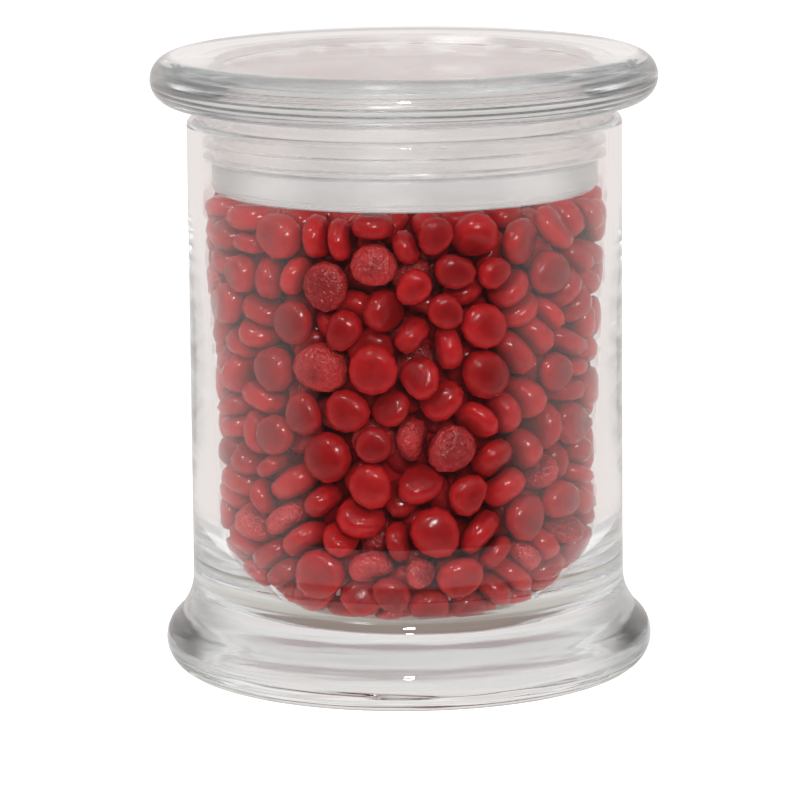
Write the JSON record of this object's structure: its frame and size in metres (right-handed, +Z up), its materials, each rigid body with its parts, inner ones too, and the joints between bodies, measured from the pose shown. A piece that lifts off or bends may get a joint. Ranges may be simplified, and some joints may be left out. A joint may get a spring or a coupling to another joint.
{
  "type": "jar of cinnamon candies",
  "caption": "Clear glass storage jar with a straight wall, bulged foot and flat-topped glass lid in a ribbed seal, full to the stopper with small round red cinnamon candies.",
  "frame": {"origin": "centre of the ring that the jar stands on, in the plane of the table", "axes": "+Z up along the jar's axis, -Y towards the viewer"},
  "size_m": [0.1186, 0.1186, 0.1453],
  "materials": {
    "jar_glass": "clear, polished",
    "lid_glass": "clear, polished",
    "seal_plastic": "clear, flexible",
    "candy_red": "glossy hard sugar shell"
  },
  "bodies": {
    "root": {"jar": "jar_glass", "lid": "lid_glass", "lid_seal": "seal_plastic", "candies": "candy_red"}
  },
  "joints": []
}
